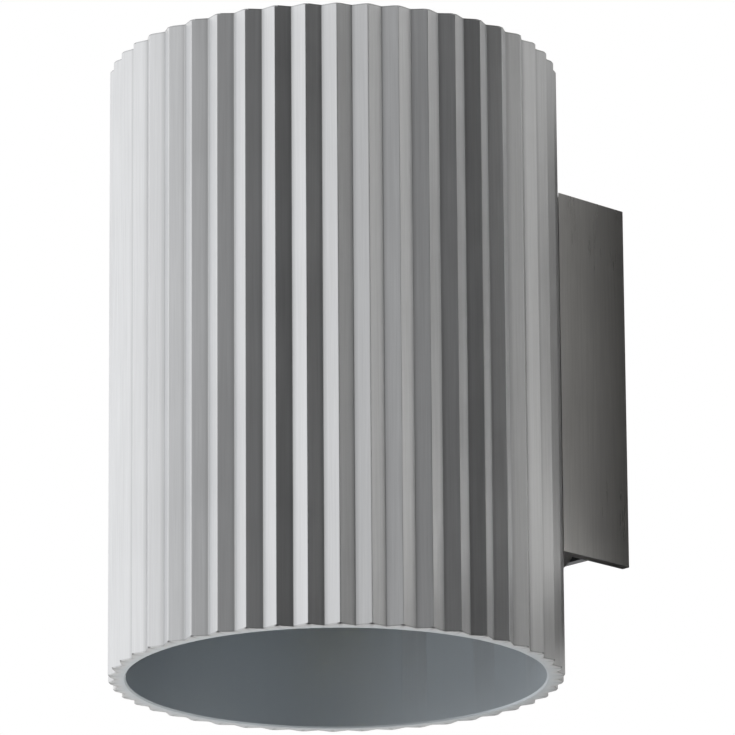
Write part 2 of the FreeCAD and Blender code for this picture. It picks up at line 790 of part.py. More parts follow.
CLAMP_FACE = f"({MOUTH} - counterbore_depth)"
clamp_length = f"2 * {CLAMP_FACE} + fine_nut_height + fine_screw_tail"
clamp_screw = screw("fine_radius", clamp_length, "fine_head_radius", "fine_head_height")
clamp_nut = nut("fine_radius", "fine_nut_width", "fine_nut_height")
screw_places = []
nut_places = []
for side in ("", "-"):
    centre_y = f"{side}{CLAMP_OFFSET} - wall_distance"
    screw_places.append(at(("0", centre_y, f"-{CLAMP_FACE}"), DOWN))
    nut_places.append(at(("0", centre_y, CLAMP_FACE), FreeCAD.Rotation()))
node(copies(clamp_screw, screw_places), "holder_screws")
node(copies(clamp_nut, nut_places), "holder_nuts")

# ---------------------------------------------------------------- lamps
# Small push-in LED lamps: two wire loops for pins, a moulded base, an LED column, a clear envelope.

BASE_LOW = f"({SEAT} + seat_gap)"
BASE_TOP = f"({BASE_LOW} + lamp_base_height)"
COLLAR_TOP = f"({BASE_TOP} + collar_height)"
NECK_TOP = f"({COLLAR_TOP} + neck_height)"
DOME = f"({COLLAR_TOP} + envelope_length - envelope_radius)"


def on_lamp_axis(radius, low, high):
    return rod(radius, f"({high}) - ({low})", ("0", "-wall_distance", low))


base_size = centred("lamp_base_width", "lamp_base_depth", BASE_LOW, BASE_TOP)
base_block = rounded_block(*base_size, "lamp_base_corner")
collar = on_lamp_axis("envelope_radius", BASE_TOP, COLLAR_TOP)
neck = on_lamp_axis("envelope_radius - envelope_wall - glue_gap", COLLAR_TOP, NECK_TOP)
upper_base = node(joined(base_block, collar, neck), "upper_lamp_base")

pin_solids = []
LEG = "(pin_loop_width / 2 - pin_wire_radius)"
LOOP_CENTRE = f"({BASE_LOW} - pin_length + pin_loop_width / 2)"
for x in PAIR_X:
    legs = []
    for side in ("+", "-"):
        leg_base = (f"{x} {side} {LEG}", "-wall_distance", LOOP_CENTRE)
        legs.append(rod("pin_wire_radius", f"{BASE_LOW} - {LOOP_CENTRE}", leg_base))
    loop = doc.addObject("Part::Torus", "loop")
    bind(loop, {"Radius1": LEG, "Radius2": "pin_wire_radius"})
    place(loop, (x, "-wall_distance", LOOP_CENTRE), FreeCAD.Rotation(X, 90))
    loop_low = f"{LOOP_CENTRE} - pin_loop_width"
    below = block(*centred("2 * pin_loop_width", "2 * pin_loop_width", loop_low, LOOP_CENTRE, x))
    pin_solids.append(joined(*legs, shared(loop, below)))
upper_pins = doc.addObject("Part::Compound", "pins")
upper_pins.Links = pin_solids
node(upper_pins, "upper_lamp_pins")

COLUMN_LENGTH = "(envelope_length - neck_height - column_gap)"
column = prism(8, "column_radius", COLUMN_LENGTH, ("0", "-wall_distance", NECK_TOP))
upper_column = node(column, "upper_lamp_column")

FLAT = "(column_radius * cos(22.5))"
chip = block(
    ("-chip_thickness / 2", "-chip_width / 2", "-chip_height / 2"),
    ("chip_thickness", "chip_width", "chip_height"),
)
chip_places = []
for facet in range(8):
    facet_angle = f"{45 * facet} + 22.5"
    for row in (-1, 0, 1):
        height = f"{NECK_TOP} + {COLUMN_LENGTH} / 2 + {row} * chip_pitch"
        distance = f"{FLAT} + chip_thickness / 2"
        chip_x = f"({distance}) * cos({facet_angle})"
        chip_y = f"({distance}) * sin({facet_angle}) - wall_distance"
        chip_places.append(at((chip_x, chip_y, height), FreeCAD.Rotation(Z, number(facet_angle))))
upper_chips = node(copies(chip, chip_places), "upper_lamp_chips")


def capsule(radius):
    return joined(on_lamp_axis(radius, COLLAR_TOP, DOME), ball(radius, ("0", "-wall_distance", DOME)))


glass = cut(capsule("envelope_radius"), capsule("envelope_radius - envelope_wall"))
upper_envelope = node(glass, "upper_lamp_envelope")
for piece in (upper_base, upper_pins, upper_column, upper_chips, upper_envelope):
    node(mirrored(piece), piece.Label.replace("upper", "lower"))

# ---------------------------------------------------------------- grommets
# Black rubber, one oblong in the tube's back and one round in the shelf.

FLANGE_WIDTH = f"({GROMMET_WIDTH} + 2 * grommet_flange)"
FLANGE_LENGTH = f"({GROMMET_LENGTH} + 2 * grommet_flange)"
INNER_LIP = f"(sqrt(bore_radius ^ 2 - ({FLANGE_WIDTH} / 2) ^ 2) - grommet_lip)"
OUTER_LIP = "(ridge_radius + grommet_lip)"
SLEEVE_WIDTH = f"{GROMMET_WIDTH} - 2 * glue_gap"
SLEEVE_LENGTH = f"{GROMMET_LENGTH} - 2 * glue_gap"
sleeve = wire_slot(SLEEVE_WIDTH, SLEEVE_LENGTH, INNER_LIP, "ridge_radius")
outer_flange = wire_slot(FLANGE_WIDTH, FLANGE_LENGTH, "ridge_radius", OUTER_LIP)
inner_flange = shared(
    wire_slot(FLANGE_WIDTH, FLANGE_LENGTH, INNER_LIP, "bore_radius"),
    tube_space("bore_radius - glue_gap"),
)
wire_way = wire_slot(SLOT_WIDTH, SLOT_LENGTH, f"{INNER_LIP} - 1", f"{OUTER_LIP} + 1")
node(cut(joined(sleeve, outer_flange, inner_flange), wire_way), "tube_grommet")



def about_shelf_grommet(radius, low, high):
    return rod(radius, f"({high}) - ({low})", ("0", f"{SHELF_GROMMET} - wall_distance", low))


lips = [
    about_shelf_grommet(f"{SHELF_SLEEVE} + grommet_flange", SHELF_TOP, f"{SHELF_TOP} + grommet_lip"),
    about_shelf_grommet(f"{SHELF_SLEEVE} + grommet_flange", f"-{SHELF_TOP} - grommet_lip", f"-{SHELF_TOP}"),
]
shelf_sleeve = about_shelf_grommet(f"{SHELF_SLEEVE} - glue_gap", f"-{SHELF_TOP}", SHELF_TOP)
shelf_bore = about_shelf_grommet(SHELF_BORE, "-5", "5")
node(cut(joined(shelf_sleeve, *lips), shelf_bore), "shelf_grommet")

# ---------------------------------------------------------------- terminal block
# Nylon, two poles, pegged into the wall bracket.

POLE_Y = "-plate_thickness - block_depth / 2"
POLES = (f"{BLOCK_X} - pole_pitch / 2", f"{BLOCK_X} + pole_pitch / 2")
BLOCK_LOW = "block_height - block_length / 2"
BLOCK_FRONT = "-plate_thickness - block_depth"
nylon = rounded_block(
    (f"{BLOCK_X} - pole_pitch", BLOCK_FRONT, BLOCK_LOW),
    ("2 * pole_pitch", "block_depth", "block_length"),
    "1",
)
pegs = []
for level in (1, -1):
    peg_base = (BLOCK_X, "-plate_thickness", f"block_height + {level} * peg_spacing / 2")
    pegs.append(rod("peg_radius", "plate_thickness * 0.9", peg_base, ALONG_Y))
nylon_cuts = []
insert_solids = []
clamp_places = []
for x in POLES:
    nylon_cuts.append(rod("insert_radius + glue_gap", "block_length", (x, POLE_Y, BLOCK_LOW)))
    insert_low = (x, POLE_Y, f"{BLOCK_LOW} + insert_setback")
    insert = rod("insert_radius", "block_length - 2 * insert_setback", insert_low)
    insert_cuts = [rod("insert_bore_radius", "block_length", (x, POLE_Y, BLOCK_LOW))]
    for level in (1, -1):
        height = f"block_height + {level} * clamp_screw_spacing / 2"
        tower = (x, BLOCK_FRONT, height)
        nylon_cuts.append(rod("clamp_screw_radius + wire_clearance", "block_depth / 2", tower, ALONG_Y))
        insert_cuts.append(rod("clamp_screw_radius", "block_depth / 2", tower, ALONG_Y))
        clamp_places.append(at((x, f"{BLOCK_FRONT} + insert_setback", height), TO_ROOM))
    insert_solids.append(cut(insert, *insert_cuts))
node(cut(joined(nylon, *pegs), *nylon_cuts), "terminal_block")
inserts = doc.addObject("Part::Compound", "inserts")
inserts.Links = insert_solids
node(inserts, "terminal_inserts")
GRUB_LENGTH = "(block_depth / 2 - insert_setback)"
grub = cut(
    rod("clamp_screw_radius - thread_clearance", GRUB_LENGTH, ("0", "0", f"-{GRUB_LENGTH}")),
    block(("-2", "-0.25", "-0.7"), ("4", "0.5", "1")),
)
node(copies(grub, clamp_places), "terminal_screws")

# ---------------------------------------------------------------- earth points
# A clinch stud in the wall bracket and a screw in the lamp bracket's shelf.

PLATE_FRONT = "-plate_thickness"
STUD_STACK = "ring_thickness + washer_thickness + coarse_nut_height"
stud_length = f"plate_thickness + {STUD_STACK} + earth_stud_tail"
stud_end = (STUD_X, f"-({stud_length})", "0")
node(rod("coarse_radius - thread_clearance", stud_length, stud_end, ALONG_Y), "earth_stud")


BARREL_MOUTH = "ring_radius + ring_neck + barrel_length"


def ring_terminal():
    """A crimp ring terminal flat on the origin's XY plane, its barrel towards -Y."""
    palm = rod("ring_radius", "ring_thickness", ("0", "0", "0"))
    tongue = block(
        ("-barrel_radius", "-ring_radius - ring_neck - 1", "0"),
        ("2 * barrel_radius", "ring_radius + ring_neck + 1", "ring_thickness"),
    )
    mouth = ("0", f"-({BARREL_MOUTH})", "barrel_radius")
    barrel = rod("barrel_radius", "barrel_length", mouth, ALONG_Y)
    barrel_bore = rod("wire_radius + glue_gap", "barrel_length - 1", mouth, ALONG_Y)
    eye = rod("coarse_radius + thread_clearance", "ring_thickness", ("0", "0", "0"))
    return cut(joined(palm, tongue, barrel), barrel_bore, eye)


ring_pattern = ring_terminal()
# on the wall bracket its barrel hangs down, under the shelf it points to the wall
node(copies(ring_pattern, [at((STUD_X, PLATE_FRONT, "0"), TO_ROOM)]), "wall_earth_ring")
earth_spot = (EARTH_SCREW_X, f"{EARTH_SCREW} - wall_distance", f"-{SHELF_TOP}")
node(copies(ring_pattern, [at(earth_spot, DOWN)]), "lamp_earth_ring")
earth_washer = washer("ring_radius", "coarse_radius + hole_clearance", "washer_thickness")
washer_front = f"{PLATE_FRONT} - ring_thickness"
node(copies(earth_washer, [at((STUD_X, washer_front, "0"), TO_ROOM)]), "earth_washer")
nut_front = f"{washer_front} - washer_thickness"
node(copies(tube_nut, [at((STUD_X, nut_front, "0"), TO_ROOM)]), "earth_nut")
earth_screw = screw("coarse_radius", "earth_screw_length", "coarse_head_radius", "coarse_head_height")
under_ring = (earth_spot[0], earth_spot[1], f"-{SHELF_TOP} - ring_thickness")
node(copies(earth_screw, [at(under_ring, DOWN)]), "lamp_earth_screw")

# ---------------------------------------------------------------- wires
# Silicone-covered wires from the terminal block and the earth stud, one above another through the
# tube's grommet. A route is a list of points, each with the largest bend allowed there.

FREE = "20"
LAYER = "-plate_thickness - wire_lift - wire_radius"


def stacked(row):
    """The height of a wire in the stack that goes through the grommet, from the top."""
    return f"-grommet_drop + ({WIRE_COUNT - 1} / 2 - {row}) * {WIRE_PITCH}"


def inside(x, reach, z, bend=FREE):
    """A point inside the tube, at a reach from its axis towards the wall."""
    return x, f"({reach}) - wall_distance", z, bend


def wire(label, route):
    """A round wire along straight runs joined by tangent arcs."""
    points = [FreeCAD.Vector(*[number(part) for part in stop[:3]]) for stop in route]
    edges = []
    start = points[0]
    least = None
    for before, corner, after, stop in zip(points, points[1:], points[2:], route[1:]):
        run_in = corner - before
        run_out = after - corner
        half_turn = run_in.getAngle(run_out) / 2
        tangent = 0.45 * min(run_in.Length, run_out.Length)
        slope = number(f"tan({half_turn} rad)")
        bend = min(tangent / slope, number(stop[3]))
        reach = bend * slope
        least = bend if least is None else min(least, bend)
        first = corner - run_in.normalize() * reach
        last = corner + run_out.normalize() * reach
        to_middle = (last - corner).normalize() + (first - corner).normalize()
        depth = (bend * bend + reach * reach) ** 0.5 - bend
        middle = corner + to_middle.normalize() * depth
        edges.append(Part.LineSegment(start, first).toShape())
        edges.append(Part.Arc(first, middle, last).toShape())
        start = last
    edges.append(Part.LineSegment(start, points[-1]).toShape())
    path = Part.Wire(edges)
    heading = points[1] - points[0]
    rim = Part.Wire(Part.Circle(points[0], heading, number("wire_radius")).toShape())
    item = doc.addObject("Part::Feature", "wire")
    item.Shape = path.makePipeShell([rim], True, False)
    ratio = item.Shape.Volume / Part.Face(rim).Area / path.Length
    print(f"{label}: length {path.Length:.1f}, least bend {least:.2f}, volume ratio {ratio:.4f}")
    return node(item, label)


def from_terminal(pole, layer, row):
    """The first points of a wire: out of the block's lower end, across to the tube's middle."""
    start_y = f"{POLE_Y} + ({layer}) * {WIRE_PITCH} / 2"
    return [
        (POLES[pole], start_y, BLOCK_LOW, FREE),
        (POLES[pole], start_y, stacked(row), "wire_bend"),
        (f"{POLES[pole]} + 9", LAYER, stacked(row), FREE),
        ("0", LAYER, stacked(row), "wire_bend"),
    ]


UPPER_RISE = (f"{SHELF_GROMMET} + {WIRE_PITCH} / 2", f"{SHELF_GROMMET} - {WIRE_PITCH} / 2")
LEFT_PIN = "-pin_spacing / 2"
RIGHT_PIN = "pin_spacing / 2"
CONTACT_BACK = f"{CONTACT_DEPTH} / 2"
wire("upper_live_wire", [
    *from_terminal(1, 1, 0),
    inside("0", UPPER_RISE[0], stacked(0)),
    inside("0", UPPER_RISE[0], f"{ENTRY} + 4"),
    inside(LEFT_PIN, f"{HOLDER_DEPTH} / 2 + 9", ENTRY),
    inside(LEFT_PIN, CONTACT_BACK, ENTRY),
])
wire("upper_neutral_wire", [
    *from_terminal(1, -1, 1),
    inside("0", UPPER_RISE[1], stacked(1)),
    inside("0", UPPER_RISE[1], ENTRY),
    inside(RIGHT_PIN, f"{HOLDER_DEPTH} / 2 + 7", ENTRY),
    inside(RIGHT_PIN, CONTACT_BACK, ENTRY),
])
wire("lower_live_wire", [
    *from_terminal(0, 1, 2),
    inside("0", "bore_radius - 16", stacked(2)),
    inside(LEFT_PIN, f"{HOLDER_DEPTH} / 2 + 7", f"-{ENTRY}"),
    inside(LEFT_PIN, CONTACT_BACK, f"-{ENTRY}"),
])
wire("lower_neutral_wire", [
    *from_terminal(0, -1, 3),
    inside("0", "bore_radius - 17", stacked(3)),
    inside(RIGHT_PIN, f"{HOLDER_DEPTH} / 2 + 6", f"-{ENTRY}"),
    inside(RIGHT_PIN, CONTACT_BACK, f"-{ENTRY}"),
])
WALL_BARREL = f"{PLATE_FRONT} - barrel_radius"
SHELF_BARREL = f"-{SHELF_TOP} - barrel_radius"
barrel_stop = f"({BARREL_MOUTH} - barrel_grip)"
wire("earth_wire", [
    (STUD_X, WALL_BARREL, f"-{barrel_stop}", FREE),
    (STUD_X, WALL_BARREL, stacked(4), "wire_bend"),
    (f"{STUD_X} - 12", LAYER, stacked(4), FREE),
    ("0", LAYER, stacked(4), "wire_bend"),
    inside("0", "bore_radius - 5", stacked(4)),
    inside(EARTH_SCREW_X, "bore_radius - 9", stacked(4)),
    inside(EARTH_SCREW_X, f"{EARTH_SCREW} + {BARREL_MOUTH} + 5", f"{SHELF_BARREL} - 2.8"),
    inside(EARTH_SCREW_X, f"{EARTH_SCREW} + {BARREL_MOUTH} + 1.5", SHELF_BARREL),
    inside(EARTH_SCREW_X, f"{EARTH_SCREW} + {barrel_stop}", SHELF_BARREL),
])

# ---------------------------------------------------------------- check and write

doc.recompute()
for item in doc.Objects:
    if "Invalid" in item.State or "Error" in item.State:
        raise RuntimeError(f"{item.Name} ({item.Label}) failed: {item.State}")
os.makedirs("parts", exist_ok=True)
for item in nodes:
    if item.Shape.isNull() or not item.Shape.isValid():
        raise RuntimeError(f"{item.Label} has no valid shape")
    print(f"{item.Label}: {len(item.Shape.Solids)} solids, {item.Shape.Volume:.0f} mm3")
    item.Shape.exportStep(f"parts/{item.Label}.step")
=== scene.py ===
from math import cos, pi, radians, sin

import bmesh
import bpy
from mathutils import Matrix, Vector


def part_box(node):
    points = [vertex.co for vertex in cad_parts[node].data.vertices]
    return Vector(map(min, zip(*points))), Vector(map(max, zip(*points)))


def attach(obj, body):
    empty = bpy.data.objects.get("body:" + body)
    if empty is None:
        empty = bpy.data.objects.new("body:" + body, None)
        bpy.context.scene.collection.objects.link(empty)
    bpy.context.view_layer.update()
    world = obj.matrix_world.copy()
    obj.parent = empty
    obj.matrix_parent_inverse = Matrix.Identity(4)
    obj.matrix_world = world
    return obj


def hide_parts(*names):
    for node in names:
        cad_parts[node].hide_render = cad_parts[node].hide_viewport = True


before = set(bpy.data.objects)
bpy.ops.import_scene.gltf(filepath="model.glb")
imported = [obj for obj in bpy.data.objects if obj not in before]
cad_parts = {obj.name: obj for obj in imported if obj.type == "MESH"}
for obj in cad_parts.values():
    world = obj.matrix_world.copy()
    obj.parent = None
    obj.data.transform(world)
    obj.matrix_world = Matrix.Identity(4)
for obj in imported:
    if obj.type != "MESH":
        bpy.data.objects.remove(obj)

# ---------------------------------------------------------------- studio
# A pale wall behind the light and a pale floor below it, lit softly from the left. The wall
# carries painted shadow, and a dark screen, which only the metal's reflections show, is a painted
# reflection for the front of the metal. None of this is part of the light.

for name in ("Cube", "Light", "Camera"):
    if name in bpy.data.objects:
        bpy.data.objects.remove(bpy.data.objects[name])
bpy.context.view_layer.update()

scene = bpy.context.scene
scene.view_settings.view_transform = "Standard"

TUBE_AXIS = Vector((0, -0.0557, 0))
CAMERA_PLACE = Vector((1.0217, -1.0444, -0.4163))
AIM, RISE, TILT = radians(45.647), radians(16.375), radians(-0.415)
LENS, SENSOR_WIDTH, FAR_LIMIT = 327.9, 36, 50

ahead = Vector((-sin(AIM) * cos(RISE), cos(AIM) * cos(RISE), sin(RISE)))
right = ahead.cross(Vector((0, 0, 1))).normalized()
above = right.cross(ahead)
right, above = right * cos(TILT) + above * sin(TILT), above * cos(TILT) - right * sin(TILT)
camera = bpy.data.objects.new("camera", bpy.data.cameras.new("camera"))
camera.matrix_world = Matrix((
    (right.x, above.x, -ahead.x, CAMERA_PLACE.x),
    (right.y, above.y, -ahead.y, CAMERA_PLACE.y),
    (right.z, above.z, -ahead.z, CAMERA_PLACE.z),
    (0, 0, 0, 1),
))
camera.data.lens = LENS
camera.data.sensor_width = SENSOR_WIDTH
camera.data.clip_end = FAR_LIMIT
scene.collection.objects.link(camera)
scene.camera = camera


def put(tree, kind, inputs=None, **fields):
    """Adds a node to a tree. A value of inputs that is a socket is linked, others are typed in."""
    node = tree.nodes.new(kind)
    for field, value in fields.items():
        setattr(node, field, value)
    for name, value in (inputs or {}).items():
        if isinstance(value, bpy.types.NodeSocket):
            tree.links.new(value, node.inputs[name])
        else:
            node.inputs[name].default_value = value
    return node


def between(tree, value, low, high):
    """low where the value is 0, high where it is 1."""
    return put(tree, "ShaderNodeMapRange", {
        "Value": value, "To Min": low, "To Max": high}).outputs[0]


def scaled(tree, colour, factor):
    """A colour made darker or lighter by a factor."""
    return put(tree, "ShaderNodeVectorMath", {0: colour, "Scale": factor},
               operation="SCALE").outputs[0]


def material(name):
    """A new material, its empty node tree, and its output node."""
    made = bpy.data.materials.new(name)
    made.use_nodes = True
    made.node_tree.nodes.clear()
    return made, made.node_tree, made.node_tree.nodes.new("ShaderNodeOutputMaterial")


def from_here(tree):
    """1 for what the camera, a glossy ray or a transmitted ray sees, and 0 for a diffuse ray."""
    path = put(tree, "ShaderNodeLightPath")
    seen = put(tree, "ShaderNodeMath", {
        0: path.outputs["Is Camera Ray"], 1: path.outputs["Is Glossy Ray"]}, operation="MAXIMUM")
    return put(tree, "ShaderNodeMath", {
        0: seen.outputs[0], 1: path.outputs["Is Transmission Ray"]},
        operation="MAXIMUM").outputs[0]


AIR_ON_MATT, AIR_IN_VIEW = 0.4, 1.0
world = bpy.data.worlds.new("studio_air")
world.use_nodes = True
air = world.node_tree
air.nodes.clear()
glow = put(air, "ShaderNodeBackground", {
    "Color": (1, 1, 1, 1), "Strength": between(air, from_here(air), AIR_ON_MATT, AIR_IN_VIEW)})
air.links.new(glow.outputs[0], put(air, "ShaderNodeOutputWorld").inputs["Surface"])
scene.world = world


def card(name, corners, faces, tones, colour, kind="ShaderNodeBsdfDiffuse", whitened=0.0):
    """A sheet of the studio, of one colour, with a tone for each corner. It is whitened by a
    share for the camera and the metal that see it, and keeps its tone for the light it sheds."""
    mesh = bpy.data.meshes.new(name)
    mesh.from_pydata(corners, [], faces)
    mesh.attributes.new("tone", "FLOAT", "POINT").data.foreach_set("value", tones)
    sheet = bpy.data.objects.new(name, mesh)
    scene.collection.objects.link(sheet)
    paint, tree, out = material(name)
    tone = put(tree, "ShaderNodeAttribute", attribute_name="tone").outputs["Fac"]
    face = put(tree, kind, {"Color": scaled(tree, colour, tone)}).outputs[0]
    if whitened:
        white = put(tree, "ShaderNodeEmission", {"Color": (1, 1, 1, 1), "Strength": 1.0})
        share = put(tree, "ShaderNodeMath", {0: from_here(tree), 1: whitened},
                    operation="MULTIPLY")
        face = put(tree, "ShaderNodeMixShader", {
            0: share.outputs[0], 1: face, 2: white.outputs[0]}).outputs[0]
    tree.links.new(face, out.inputs["Surface"])
    mesh.materials.append(paint)
    return sheet


def level_corners(reach, front, back, level):
    """The corners of a level sheet, from -reach to reach in x and from front to back in y."""
    return [(-reach, front, level), (reach, front, level),
            (reach, back, level), (-reach, back, level)]


FLOOR_LEVEL, FLOOR_REACH, FLOOR_TONE, FLOOR_WHITE = -1.9, 6, 0.8, 0.72
ONE_FACE = [(0, 1, 2, 3)]
card("floor", level_corners(FLOOR_REACH, -FLOOR_REACH, FLOOR_REACH, FLOOR_LEVEL), ONE_FACE,
     [FLOOR_TONE] * 4, (1, 1, 1), whitened=FLOOR_WHITE)

# The wall is a grid of tones. It is darker close to the box's right side, in a band just under the
# light, lower down and far to the right, and a little lighter a few centimetres right of the box:
# painted shadow of the tube and the box, and a little painted light, which the metal mirrors.
WALL_REACH, WALL_FACE, WALL_TONE = 4.0, 0.0005, 0.66
side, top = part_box("wall_box")[1].x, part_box("wall_box")[1].z
# x, then the share of the tone at the box's height alone, and the share at every height. Shares
# under 1 are painted shade and shares over 1 painted light.
wall_painted_shade_columns = (
    (-WALL_REACH, 1, 1), (-side, 1, 1),
    (side, 0.38, 1), (side + 0.008, 0.62, 1), (side + 0.018, 0.92, 1), (side + 0.03, 1.1, 1.1),
    (0.1, 1, 1), (0.2, 1, 0.68), (WALL_REACH, 1, 0.68))
# z, then 1 at the box's height, and the share of the tone. The low shares under the light are
# painted shade.
wall_painted_shade_rows = (
    (FLOOR_LEVEL, 0, 0.72), (-0.062, 0, 0.72), (-0.056, 0, 0.2), (-top - 0.0004, 0, 0.2),
    (-top, 1, 1), (top, 1, 1), (top + 0.03, 0, 1), (WALL_REACH, 0, 1))
BEHIND_BOX = (1, 4)
across_wall = len(wall_painted_shade_columns)
wall = card(
    "wall", [(x, WALL_FACE, z) for z, strip, level in wall_painted_shade_rows for x, near, far in wall_painted_shade_columns],
    [(i + across_wall * j, i + 1 + across_wall * j,
      i + 1 + across_wall * (j + 1), i + across_wall * (j + 1))
     for j in range(len(wall_painted_shade_rows) - 1) for i in range(across_wall - 1) if (i, j) != BEHIND_BOX],
    [WALL_TONE * level * far * (near if strip else 1) for z, strip, level in wall_painted_shade_rows
     for x, near, far in wall_painted_shade_columns], (1.0, 0.985, 0.96))
wall.visible_camera = False

# The screen stands round the tube on the camera's side, and only the metal's reflections show it:
# a painted reflection, lighter to the left and darker towards the camera. Its table gives degrees
# from the camera, and the tone.
SCREEN_REACH, SCREEN_LOW, SCREEN_HIGH = 0.4, -0.35, 0.55
SCREEN_TONES = (
    (-60, 1.0), (-48, 0.87), (-38, 0.67), (-28, 0.51), (-18, 0.33), (-8, 0.29), (0, 0.21),
    (8, 0.12), (16, 0.045), (24, 0.085), (32, 0.05), (42, 0.07), (52, 0.12))
towards_camera, across = Vector((0.719, -0.695, 0)), Vector((0.695, 0.719, 0))
rail = [TUBE_AXIS + SCREEN_REACH * (
    cos(radians(turn)) * towards_camera + sin(radians(turn)) * across)
    for turn, tone in SCREEN_TONES]
screen = card(
    "painted_reflection_screen", [(p.x, p.y, z) for z in (SCREEN_LOW, SCREEN_HIGH) for p in rail],
    [(i, i + 1, len(rail) + i + 1, len(rail) + i) for i in range(len(rail) - 1)],
    [tone for turn, tone in SCREEN_TONES] * 2, (1, 1, 1), kind="ShaderNodeEmission")
# A dark sheet under the tube, which only the metal's reflections show as well: a painted dark
# reflection for the bore and the tube's ends.
BELOW_REACH, BELOW_FRONT, BELOW_LEVEL, BELOW_TONE = 0.4, -0.5, -0.45, 0.06
below = card("painted_reflection_screen_below", level_corners(BELOW_REACH, BELOW_FRONT, 0, BELOW_LEVEL),
             ONE_FACE, [BELOW_TONE] * 4, (1, 1, 1), kind="ShaderNodeEmission")
for sheet in (screen, below):
    sheet.visible_camera = sheet.visible_diffuse = False
    sheet.visible_shadow = sheet.visible_transmission = False


def soft_light(name, size, energy, place, colour=(1, 1, 1)):
    """A square light aimed at the tube, which neither the camera nor the metal sees."""
    lamp = bpy.data.lights.new(name, "AREA")
    lamp.shape, lamp.size, lamp.energy, lamp.color = "SQUARE", size, energy, colour
    light = bpy.data.objects.new(name, lamp)
    light.location = place
    light.rotation_euler = (TUBE_AXIS - light.location).to_track_quat("-Z", "Y").to_euler()
    light.visible_glossy = light.visible_camera = False
    scene.collection.objects.link(light)


soft_light("soft_window", 1.8, 26, (-1.55, -1.45, 0.55), colour=(0.97, 0.985, 1.0))
soft_light("low_fill", 0.7, 34, (-0.75, -0.95, -1.25))

# ---------------------------------------------------------------- fluted tube
# An extruded aluminium tube with 46 sharp V flutes, brushed along its length, sawn and turned to a
# small chamfer at both ends. The section follows a rule, so a node tree draws it, ridge by ridge.

FLUTES, RIDGE_RADIUS, FLUTE_DEPTH, TUBE_WALL = 46, 0.050, 0.0017, 0.004
TUBE_LENGTH, END_CHAMFER, EDGE_BREAK = 0.139, 0.00035, 0.00003
SAME_POINT, CREASE = 1e-6, 9
# Where the section has a point, in shares of the way from one ridge to the next, and how far the
# break of its edges moves each point out.
FLUTE_STOPS = (0, 0.02, 0.1, 0.48, 0.5, 0.52, 0.9, 0.98)
STOP_BREAKS = (-1.0, 0.0, 0.0, 0.0, 1.0, 0.0, 0.0, 0.0)


def sums(tree):
    """A function that adds one arithmetic node to the tree and gives its result."""
    def work(operation, *values):
        return put(tree, "ShaderNodeMath", dict(enumerate(values)), operation=operation).outputs[0]
    return work


def choice(tree, index, values):
    """Picks one of the values, by a whole number."""
    node = put(tree, "GeometryNodeIndexSwitch", data_type="FLOAT")
    while len(node.index_switch_items) < len(values):
        node.index_switch_items.new()
    tree.links.new(index, node.inputs["Index"])
    for place, value in enumerate(values):
        if isinstance(value, bpy.types.NodeSocket):
            tree.links.new(value, node.inputs[1 + place])
        else:
            node.inputs[1 + place].default_value = value
    return node.outputs[0]


def planted(name, tree, values):
    """A new object whose mesh the node tree draws with these inputs, turned into a plain mesh."""
    piece = bpy.data.objects.new(name, bpy.data.meshes.new(name))
    scene.collection.objects.link(piece)
    modifier = piece.modifiers.new(name, "NODES")
    modifier.node_group = tree
    for socket in tree.interface.items_tree:
        if socket.in_out == "INPUT" and socket.name in values:
            modifier[socket.identifier] = values[socket.name]
    seen = piece.evaluated_get(bpy.context.evaluated_depsgraph_get())
    drawn = bpy.data.meshes.new_from_object(seen)
    piece.modifiers.clear()
    piece.data = drawn
    drawn.name = name
    return piece


def closed(piece, crease=None):
    """Merges a piece's doubles, turns its faces outwards and smooths it up to a crease angle."""
    shell = bmesh.new()
    shell.from_mesh(piece.data)
    bmesh.ops.remove_doubles(shell, verts=shell.verts, dist=SAME_POINT)
    bmesh.ops.recalc_face_normals(shell, faces=shell.faces)
    shell.to_mesh(piece.data)
    shell.free()
    if crease:
        piece.data.shade_smooth()
        piece.data.set_sharp_from_angle(angle=radians(crease))


section = bpy.data.node_groups.new("fluted_tube_section", "GeometryNodeTree")
for name, kind in (
        ("Flutes", "Int"), ("Ridge radius", "Float"), ("Flute depth", "Float"),
        ("Wall", "Float"), ("Length", "Float"), ("End chamfer", "Float"),
        ("Edge break", "Float"), ("Finish", "Material")):
    section.interface.new_socket(name, in_out="INPUT", socket_type=f"NodeSocket{kind}")
section.interface.new_socket("Tube", in_out="OUTPUT", socket_type="NodeSocketGeometry")
given = put(section, "NodeGroupInput").outputs
work = sums(section)
flutes, ridge, chamfer = given["Flutes"], given["Ridge radius"], given["End chamfer"]
valley = work("SUBTRACT", ridge, given["Flute depth"])
bore = work("SUBTRACT", ridge, given["Wall"])
mouth = work("ADD", bore, chamfer)
half_chamfer = work("MULTIPLY", chamfer, 0.5)
turned = work("SUBTRACT", ridge, chamfer)
half_turned = work("SUBTRACT", ridge, half_chamfer)
end = work("MULTIPLY", given["Length"], 0.5)
shoulder = work("SUBTRACT", end, chamfer)
midway = work("SUBTRACT", end, half_chamfer)
low_end, low_shoulder, low_midway = [
    work("MULTIPLY", level, -1.0) for level in (end, shoulder, midway)]
# Once round the tube's wall, up the outside and down the bore: the level, the furthest radius
# there, 1 in the bore, and how much painted shade the turning tool's chamfer gets.
profile = (
    (low_shoulder, ridge, 0.0, 0.0),
    (shoulder, ridge, 0.0, 0.0),
    (midway, half_turned, 0.0, 1.0),
    (end, turned, 0.0, 0.6),
    (end, mouth, 1.0, 0.0),
    (shoulder, bore, 1.0, 0.0),
    (low_shoulder, bore, 1.0, 0.0),
    (low_end, mouth, 1.0, 0.0),
    (low_end, turned, 0.0, 0.6),
    (low_midway, half_turned, 0.0, 1.0),
    (low_shoulder, ridge, 0.0, 0.0))

